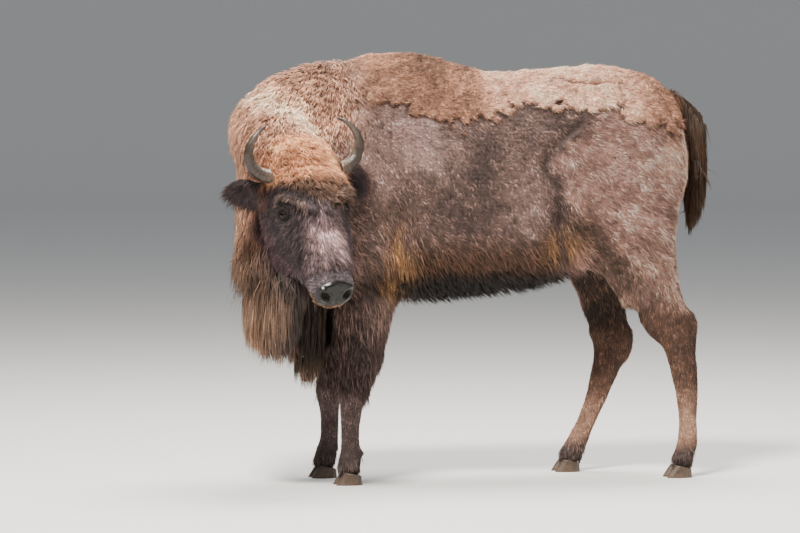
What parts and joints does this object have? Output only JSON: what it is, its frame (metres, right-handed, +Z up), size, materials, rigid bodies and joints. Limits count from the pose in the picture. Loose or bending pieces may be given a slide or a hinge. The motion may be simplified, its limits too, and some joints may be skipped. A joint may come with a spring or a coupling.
{
  "type": "wisent",
  "caption": "Life-size still model of a European bison cow, standing with her head turned back over her left side, in a moulting coat.",
  "frame": {"origin": "on the floor, below the middle of the whole model's bounding box", "axes": "+X from her chest towards her tail, -Y on her left side where her head is turned, +Z up"},
  "size_m": [1.9684, 0.9208, 1.6029],
  "materials": {
    "coat": "short flat grey-brown fur, with paler loose wool along the back",
    "mane": "long soft hair, cream on the front of the neck, brown in the beard",
    "head_coat": "hair swept down the face, tan and curled on the forehead",
    "leg_coat": "short dark brown fur, long behind the forelegs",
    "tail_hair": "long dark brown hair",
    "muzzle": "bare moist nose pad and short hair round the mouth",
    "horn": "satin grey horn with a rougher brown base",
    "hoof": "worn dark horn",
    "eye": "wet and nearly black"
  },
  "bodies": {
    "root": {"trunk": "coat", "neck": "mane", "throat_mane": "mane", "chest_mane": "mane", "lower_jaw": "muzzle", "muzzle": "muzzle", "head": "head_coat", "horn_left": "horn", "eye_left": "eye", "ear_left": "head_coat", "horn_right": "horn", "eye_right": "eye", "ear_right": "head_coat", "foreleg_left_upper": "leg_coat", "foreleg_left_lower": "leg_coat", "foreleg_left_claw_outer": "hoof", "foreleg_left_claw_inner": "hoof", "foreleg_right_upper": "leg_coat", "foreleg_right_lower": "leg_coat", "foreleg_right_claw_outer": "hoof", "foreleg_right_claw_inner": "hoof", "hindleg_left_upper": "coat", "hindleg_left_lower": "leg_coat", "hindleg_left_claw_outer": "hoof", "hindleg_left_claw_inner": "hoof", "hindleg_right_upper": "coat", "hindleg_right_lower": "leg_coat", "hindleg_right_claw_outer": "hoof", "hindleg_right_claw_inner": "hoof", "tail_dock": "tail_hair", "tail_switch": "tail_hair"}
  },
  "joints": []
}
